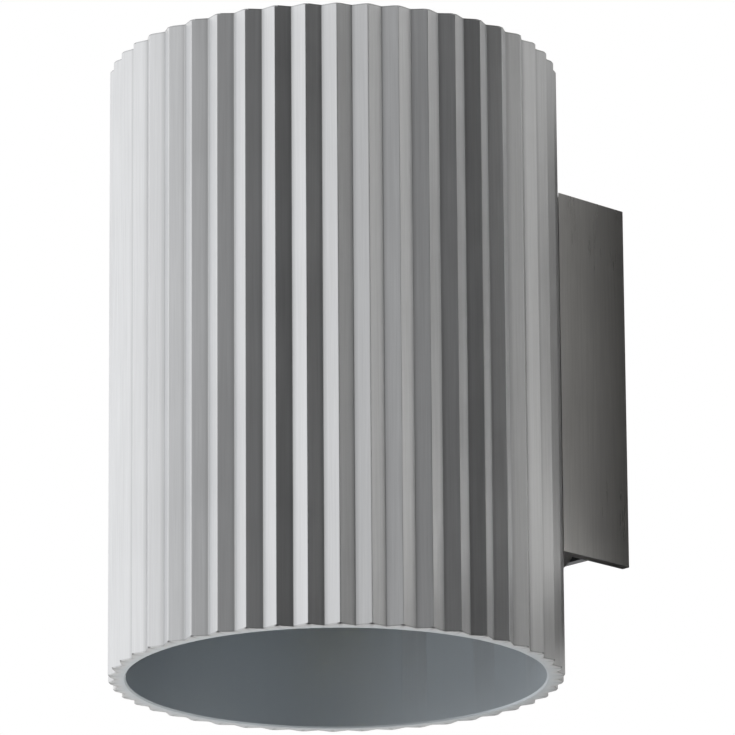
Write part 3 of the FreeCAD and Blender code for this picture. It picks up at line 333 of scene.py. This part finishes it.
stops, rows = float(len(FLUTE_STOPS)), len(profile)
columns = work("MULTIPLY", flutes, stops)
sheet = put(section, "GeometryNodeMeshGrid", {
    "Size X": 1.0, "Size Y": 1.0, "Vertices X": work("ADD", columns, 1.0), "Vertices Y": rows})
spot = put(section, "ShaderNodeSeparateXYZ", {
    0: put(section, "GeometryNodeInputPosition").outputs[0]}).outputs
column = work("ROUND", work("MULTIPLY", work("ADD", spot["X"], 0.5), columns))
row = work("ROUND", work("MULTIPLY", work("ADD", spot["Y"], 0.5), float(rows - 1)))
level, limit, inside, chamfer_shade = [choice(section, row, values) for values in zip(*profile)]
outside = work("SUBTRACT", 1.0, inside)
stop = work("MODULO", column, stops)
share = choice(section, stop, FLUTE_STOPS)
pitch = work("DIVIDE", 2 * pi, flutes)
half_pitch = work("MULTIPLY", pitch, 0.5)
turn = work("MULTIPLY", work("ADD", work("FLOOR", work("DIVIDE", column, stops)), share), pitch)

# A facet is a straight line from a ridge to a valley, and the chamfer clips the ridges.
from_ridge = work("MULTIPLY", work("MINIMUM", share, work("SUBTRACT", 1.0, share)), pitch)
from_valley = work("SUBTRACT", half_pitch, from_ridge)
facet = work("DIVIDE", work("MULTIPLY", work("MULTIPLY", ridge, valley), work("SINE", half_pitch)),
             work("ADD", work("MULTIPLY", ridge, work("SINE", from_ridge)),
                  work("MULTIPLY", valley, work("SINE", from_valley))))
skin = work("ADD", facet, work("MULTIPLY", given["Edge break"],
                               choice(section, stop, STOP_BREAKS)))
reach = work("ADD", work("MULTIPLY", inside, limit),
             work("MULTIPLY", outside, work("MINIMUM", skin, limit)))
place = put(section, "ShaderNodeCombineXYZ", {
    "X": work("MULTIPLY", reach, work("SINE", turn)),
    "Y": work("ADD", work("MULTIPLY", reach, work("COSINE", turn)), TUBE_AXIS.y),
    "Z": level})

# Three marks for the finish: 0 in a valley to 1 on a ridge, 1 in the bore, and 1 where the tool
# has clipped a ridge. The first and the last set painted shade, low in the flutes and on the
# clipped chamfer. They are stored before the points move, while rows and columns can be read.
IN_BORE, BESIDE_RIDGE = 0.5, 0.3
height = work("DIVIDE", work("SUBTRACT", facet, valley), given["Flute depth"])
clipped = work("ADD", BESIDE_RIDGE,
               work("MULTIPLY", 1.0 - BESIDE_RIDGE, work("GREATER_THAN", skin, limit)))
marked = sheet.outputs[0]
for name, value in (
        ("flute", work("ADD", work("MULTIPLY", inside, IN_BORE),
                       work("MULTIPLY", outside, height))),
        ("bore", inside), ("turned", work("MULTIPLY", clipped, chamfer_shade))):
    marked = put(section, "GeometryNodeStoreNamedAttribute", {
        "Geometry": marked, "Name": name, "Value": value},
        data_type="FLOAT", domain="POINT").outputs[0]
moved = put(section, "GeometryNodeSetPosition", {"Geometry": marked, "Position": place.outputs[0]})
welded = put(section, "GeometryNodeMergeByDistance", {
    "Geometry": moved.outputs[0], "Distance": SAME_POINT})
whole = put(section, "GeometryNodeRealizeInstances", {"Geometry": welded.outputs[0]})
painted = put(section, "GeometryNodeSetMaterial", {
    "Geometry": whole.outputs[0], "Material": given["Finish"]})
put(section, "NodeGroupOutput", {"Tube": painted.outputs[0]})


def shader_group(name, inputs):
    """A shader node group that puts out a colour, a roughness and a height, with what it is given
    and a function for its sums."""
    group = bpy.data.node_groups.new(name, "ShaderNodeTree")
    for socket, kind, value in inputs:
        group.interface.new_socket(
            socket, in_out="INPUT", socket_type=f"NodeSocket{kind}").default_value = value
    for socket, kind in (("Colour", "Color"), ("Roughness", "Float"), ("Height", "Float")):
        group.interface.new_socket(socket, in_out="OUTPUT", socket_type=f"NodeSocket{kind}")
    return group, put(group, "NodeGroupInput").outputs, sums(group)


def mixed(tree, factor, first, second):
    """The first colour where the factor is 0, and the second where it is 1. The node's sockets 6
    and 7 are its two colours, and its output 2 is their mix."""
    return put(tree, "ShaderNodeMix", {"Factor": factor, 6: first, 7: second},
               data_type="RGBA").outputs[2]


# The fine grain that a brush or a mill leaves: streaks along Z, with slower changes between them.
FINE_SHARE, BROAD_SHARE, BROAD_STREAKS, CLOUDS = 0.7, 0.3, 0.17, 38.0
grain, given, work = shader_group("brushed_grain", (
    ("Colour", "Color", (0.8, 0.8, 0.8, 1)), ("Streaks", "Float", 2600.0),
    ("Stretch", "Float", 0.02), ("Contrast", "Float", 0.1),
    ("Roughness", "Float", 0.4), ("Spread", "Float", 0.08)))
where = put(grain, "ShaderNodeTexCoord").outputs["Object"]
along = put(grain, "ShaderNodeCombineXYZ", {"X": 1.0, "Y": 1.0, "Z": given["Stretch"]})
stretched = put(grain, "ShaderNodeVectorMath", {0: where, 1: along.outputs[0]},
                operation="MULTIPLY").outputs[0]
fine = put(grain, "ShaderNodeTexNoise", {
    "Vector": stretched, "Scale": given["Streaks"], "Detail": 3.0, "Roughness": 0.6})
broad = put(grain, "ShaderNodeTexNoise", {
    "Vector": stretched, "Scale": work("MULTIPLY", given["Streaks"], BROAD_STREAKS),
    "Detail": 2.0})
cloud = put(grain, "ShaderNodeTexNoise", {"Vector": where, "Scale": CLOUDS, "Detail": 3.0})
streak = work("SUBTRACT", work("ADD", work("MULTIPLY", fine.outputs["Fac"], FINE_SHARE),
                               work("MULTIPLY", broad.outputs["Fac"], BROAD_SHARE)), 0.5)
change = work("ADD", work("MULTIPLY", streak, 2.0), work("SUBTRACT", cloud.outputs["Fac"], 0.5))
put(grain, "NodeGroupOutput", {
    "Colour": scaled(grain, given["Colour"],
                     work("ADD", 1.0, work("MULTIPLY", given["Contrast"], change))),
    "Roughness": work("ADD", given["Roughness"], work("MULTIPLY", given["Spread"], change)),
    "Height": streak})

# How high up the flutes the painted valley shade reaches, and the share of the colour that the
# painted shade leaves on a clipped chamfer.
GRAIN_HEIGHT, SHADED_HEIGHT, CHAMFER_SHADE_FACTOR = 0.00002, 0.3, 0.22
LINING_GRAIN, LINING_METAL = 0.12, 0.7


def brushed(name, colour, roughness, streaks=2600.0, contrast=0.16, spread=0.08, relief=0.25,
            stretch=0.02, painted_valley_shade=1.0, bore_finish_and_shade=None):
    """A metal with streaks along Z. With a bore colour, it reads the tube's marks: it is darker
    low in the flutes and where a ridge is clipped, both painted shade, and of the other colour in
    the bore, which is partly the bore's own finish and partly painted shade and a painted bluish
    reflection."""
    made, tree, out = material(name)
    group = put(tree, "ShaderNodeGroup", {
        "Colour": (*colour, 1), "Streaks": streaks, "Stretch": stretch, "Contrast": contrast,
        "Roughness": roughness, "Spread": spread}, node_tree=grain)
    tint, metal = group.outputs["Colour"], 1.0
    if bore_finish_and_shade:
        height, chamfer_shade, inner = [
            put(tree, "ShaderNodeAttribute", attribute_name=mark).outputs["Fac"]
            for mark in ("flute", "turned", "bore")]
        ramp = put(tree, "ShaderNodeMapRange", {
            "Value": height, "From Min": 0.0, "From Max": SHADED_HEIGHT,
            "To Min": painted_valley_shade, "To Max": 1.0}, interpolation_type="SMOOTHSTEP")
        tint = scaled(tree, tint, ramp.outputs[0])
        tint = scaled(tree, tint, between(tree, chamfer_shade, 1.0, CHAMFER_SHADE_FACTOR))
        lining = mixed(tree, LINING_GRAIN, (*bore_finish_and_shade, 1), group.outputs["Colour"])
        tint = mixed(tree, inner, tint, lining)
        metal = between(tree, inner, 1.0, LINING_METAL)
    bump = put(tree, "ShaderNodeBump", {
        "Strength": relief, "Distance": GRAIN_HEIGHT, "Height": group.outputs["Height"]})
    shader = put(tree, "ShaderNodeBsdfPrincipled", {
        "Base Color": tint, "Roughness": group.outputs["Roughness"], "Metallic": metal,
        "Normal": bump.outputs[0]})
    tree.links.new(shader.outputs[0], out.inputs["Surface"])
    return made


# The bore's colour, darker and bluer than the outside, is partly the plainer finish inside the
# tube and partly painted shade and a painted bluish reflection.
tube = planted("fluted_tube_skin", section, {
    "Flutes": FLUTES, "Ridge radius": RIDGE_RADIUS, "Flute depth": FLUTE_DEPTH,
    "Wall": TUBE_WALL, "Length": TUBE_LENGTH, "End chamfer": END_CHAMFER,
    "Edge break": EDGE_BREAK, "Finish": brushed(
        "satin_aluminium_tube", (0.76, 0.768, 0.78), 0.37, painted_valley_shade=0.8,
        bore_finish_and_shade=(0.46, 0.505, 0.54))})
closed(tube)

# The back wall has four screw holes, square to the wall's surface, and a slot for the wires.
SCREW_TURN, SCREW_LEVEL, SCREW_HOLE = radians(23.478), 0.022, 0.00225
SLOT_LEVEL, SLOT_HALF_WIDTH, SLOT_HALF_LENGTH = -0.0122, 0.0032, 0.0074
DRILL_REACH, DRILL_LENGTH, DRILL_SIDES = 0.048, 0.02, 40
SLOT_FRONT, SLOT_BACK, SLOT_SIDES = -0.02, 0.0, 32
drills = bmesh.new()
for turn in (-SCREW_TURN, SCREW_TURN):
    for level in (-SCREW_LEVEL, SCREW_LEVEL):
        outwards = Vector((sin(turn), cos(turn), 0))
        aim = outwards.to_track_quat("Z", "Y").to_matrix().to_4x4()
        middle = TUBE_AXIS + outwards * DRILL_REACH + Vector((0, 0, level))
        bmesh.ops.create_cone(
            drills, cap_ends=True, segments=DRILL_SIDES, radius1=SCREW_HOLE, radius2=SCREW_HOLE,
            depth=DRILL_LENGTH, matrix=Matrix.Translation(middle) @ aim)
slot_arm = SLOT_HALF_LENGTH - SLOT_HALF_WIDTH
ends = []
for y in (SLOT_FRONT, SLOT_BACK):
    loop = []
    for step in range(SLOT_SIDES):
        turn = 2 * pi * step / SLOT_SIDES
        lift = slot_arm if step < SLOT_SIDES // 2 else -slot_arm
        loop.append(drills.verts.new((
            SLOT_HALF_WIDTH * cos(turn), y, SLOT_LEVEL + lift + SLOT_HALF_WIDTH * sin(turn))))
    ends.append(loop)
    drills.faces.new(loop)
for step in range(SLOT_SIDES):
    after = (step + 1) % SLOT_SIDES
    drills.faces.new((ends[0][step], ends[0][after], ends[1][after], ends[1][step]))
bmesh.ops.recalc_face_normals(drills, faces=drills.faces)
drill_mesh = bpy.data.meshes.new("drills")
drills.to_mesh(drill_mesh)
drills.free()
drill = bpy.data.objects.new("drills", drill_mesh)
scene.collection.objects.link(drill)
bored = tube.modifiers.new("bored", "BOOLEAN")
bored.object, bored.operation, bored.solver = drill, "DIFFERENCE", "EXACT"
drilled_mesh = bpy.data.meshes.new_from_object(
    tube.evaluated_get(bpy.context.evaluated_depsgraph_get()))
tube.modifiers.clear()
tube.data = drilled_mesh
bpy.data.objects.remove(drill)
closed(tube, crease=CREASE)
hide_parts("fluted_tube")
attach(tube, "fixture")

# ---------------------------------------------------------------- wall box
# A rectangular aluminium box on the wall, open above and below, with a curved web behind the tube.
# The same alloy as the tube, ground flat and brushed, so its grain is a little coarser.


def finish(names, made):
    """Gives CAD nodes a better material."""
    for name in names:
        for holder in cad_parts[name].material_slots:
            holder.material = made


finish(["wall_box"], brushed(
    "satin_aluminium_box", (0.75, 0.745, 0.735), 0.3, streaks=1900.0, contrast=0.18,
    stretch=0.03, relief=0.15))

# ---------------------------------------------------------------- wall bracket and screws
# A plated steel plate on the wall with four ears bent forward, darkened to near black as painted
# shade for the gap behind the box. The screws, nuts and washers, the lamp bracket and the earth
# stud are in plain zinc, bluish and cloudy.

finish(["wall_bracket"], brushed(
    "painted_shade_zinc_plate", (0.13, 0.132, 0.138), 0.5, streaks=900.0, contrast=0.2, stretch=0.25,
    relief=0.15, spread=0.14))
finish(["box_screws", "terminal_screws", "tube_screws", "tube_washers", "tube_nuts",
        "lamp_bracket", "holder_screws", "holder_nuts", "earth_stud", "earth_washer", "earth_nut",
        "lamp_earth_screw"], brushed(
    "zinc_plate", (0.62, 0.64, 0.67), 0.36, streaks=900.0, contrast=0.16, stretch=0.25,
    relief=0.15, spread=0.14))

# ---------------------------------------------------------------- terminal block
# Moulded white nylon with two brass inserts, pegged into the wall bracket. What isn't brushed or
# plated sheet, such as nylon, brass, ceramic and rubber, has a fine speckle in place of streaks.

SPECKLE_HEIGHT, PATCHES, SECOND_FROM, SECOND_TO = 0.00003, 0.12, 0.38, 0.62
speckle, given, work = shader_group("fine_speckle", (
    ("Colour", "Color", (0.8, 0.8, 0.8, 1)), ("Second colour", "Color", (0.7, 0.7, 0.7, 1)),
    ("Grains", "Float", 900.0), ("Roughness", "Float", 0.5), ("Spread", "Float", 0.1)))
where = put(speckle, "ShaderNodeTexCoord").outputs["Object"]
grains = put(speckle, "ShaderNodeTexNoise", {
    "Vector": where, "Scale": given["Grains"], "Detail": 4.0}).outputs["Fac"]
patches = put(speckle, "ShaderNodeTexNoise", {
    "Vector": where, "Scale": work("MULTIPLY", given["Grains"], PATCHES),
    "Detail": 3.0}).outputs["Fac"]
blend = work("ADD", work("MULTIPLY", grains, 0.5), work("MULTIPLY", patches, 0.5))
sharp = put(speckle, "ShaderNodeMapRange", {
    "Value": blend, "From Min": SECOND_FROM, "From Max": SECOND_TO})
put(speckle, "NodeGroupOutput", {
    "Colour": mixed(speckle, sharp.outputs[0], given["Colour"], given["Second colour"]),
    "Roughness": work("ADD", given["Roughness"],
                      work("MULTIPLY", given["Spread"], work("SUBTRACT", blend, 0.5))),
    "Height": grains})


def speckled(name, colour, second, roughness, grains=900.0, spread=0.2, relief=0.15, **sockets):
    """A material of two close colours in fine grains. sockets are typed in on the shader."""
    made, tree, out = material(name)
    group = put(tree, "ShaderNodeGroup", {
        "Colour": (*colour, 1), "Second colour": (*second, 1), "Grains": grains,
        "Roughness": roughness, "Spread": spread}, node_tree=speckle)
    bump = put(tree, "ShaderNodeBump", {
        "Strength": relief, "Distance": SPECKLE_HEIGHT, "Height": group.outputs["Height"]})
    shader = put(tree, "ShaderNodeBsdfPrincipled", {
        "Base Color": group.outputs["Colour"], "Roughness": group.outputs["Roughness"],
        "Normal": bump.outputs[0],
        **{socket.replace("_", " "): value for socket, value in sockets.items()}})
    tree.links.new(shader.outputs[0], out.inputs["Surface"])
    return made


finish(["terminal_block"], speckled(
    "white_nylon", (0.74, 0.73, 0.69), (0.68, 0.67, 0.63), 0.42, grains=1400.0))
finish(["terminal_inserts"], speckled(
    "terminal_brass", (0.72, 0.53, 0.24), (0.62, 0.44, 0.19), 0.3, grains=1100.0, Metallic=1.0))

# ---------------------------------------------------------------- lampholders
# Two ceramic push-in holders, glazed white, back to back on the bracket, with plated springs
# inside that grip the lamps' pins.

finish(["upper_holder", "lower_holder"], speckled(
    "glazed_ceramic", (0.79, 0.78, 0.75), (0.72, 0.71, 0.675), 0.3, grains=700.0, relief=0.1,
    Coat_Weight=0.35, Coat_Roughness=0.12))
finish(["upper_contacts", "lower_contacts"], speckled(
    "plated_spring", (0.72, 0.7, 0.64), (0.63, 0.61, 0.55), 0.28, grains=1500.0, Metallic=1.0))

# ---------------------------------------------------------------- lamps
# Push-in LED lamps. A moulded base with two wire loops, a white column with rows of phosphor
# chips, and a clear envelope glued into the base.

finish(["upper_lamp_base", "lower_lamp_base"], speckled(
    "lamp_base_plastic", (0.8, 0.79, 0.76), (0.75, 0.74, 0.71), 0.38, grains=1600.0))
finish(["upper_lamp_pins", "lower_lamp_pins"], speckled(
    "tinned_wire", (0.72, 0.72, 0.71), (0.6, 0.6, 0.6), 0.25, grains=2200.0, Metallic=1.0))
finish(["upper_lamp_column", "lower_lamp_column"], speckled(
    "column_white", (0.8, 0.8, 0.78), (0.74, 0.74, 0.72), 0.4, grains=1200.0))
finish(["upper_lamp_chips", "lower_lamp_chips"], speckled(
    "led_phosphor", (0.83, 0.62, 0.12), (0.75, 0.5, 0.06), 0.45, grains=2600.0, relief=0.3))

clear, tree, out = material("clear_envelope")
dust = put(tree, "ShaderNodeGroup", {
    "Colour": (0.97, 0.98, 0.98, 1), "Second colour": (0.93, 0.95, 0.95, 1), "Grains": 420.0,
    "Roughness": 0.05, "Spread": 0.12}, node_tree=speckle)
glass = put(tree, "ShaderNodeBsdfPrincipled", {
    "Base Color": dust.outputs["Colour"], "Roughness": dust.outputs["Roughness"], "IOR": 1.49,
    "Transmission Weight": 1.0})
tree.links.new(glass.outputs[0], out.inputs["Surface"])
finish(["upper_lamp_envelope", "lower_lamp_envelope"], clear)

# ---------------------------------------------------------------- grommets
# Black rubber sleeves with a lip at each side, one in the tube's back and one in the shelf.
# They keep the wires off the holes' edges.

finish(["tube_grommet", "shelf_grommet"], speckled(
    "black_rubber", (0.022, 0.022, 0.023), (0.045, 0.045, 0.047), 0.62, grains=1300.0,
    relief=0.35))

# ---------------------------------------------------------------- earth rings
# Crimped ring terminals of tinned copper, at both ends of the earth wire. One is on the wall
# bracket's stud and one is under the shelf's screw.

finish(["wall_earth_ring", "lamp_earth_ring"], speckled(
    "tinned_ring", (0.66, 0.65, 0.62), (0.56, 0.55, 0.52), 0.32, grains=1400.0, Metallic=1.0))

# ---------------------------------------------------------------- wires
# Silicone-covered wires, brown and blue, from the terminal block through the grommets to the
# holders. The earth wire is green and yellow.

finish(["upper_live_wire", "lower_live_wire"], speckled(
    "brown_silicone", (0.13, 0.055, 0.028), (0.1, 0.042, 0.021), 0.45, grains=1500.0))
finish(["upper_neutral_wire", "lower_neutral_wire"], speckled(
    "blue_silicone", (0.035, 0.13, 0.38), (0.028, 0.105, 0.32), 0.45, grains=1500.0))
finish(["earth_wire"], speckled(
    "green_yellow_silicone", (0.06, 0.25, 0.05), (0.62, 0.55, 0.04), 0.45, grains=300.0))
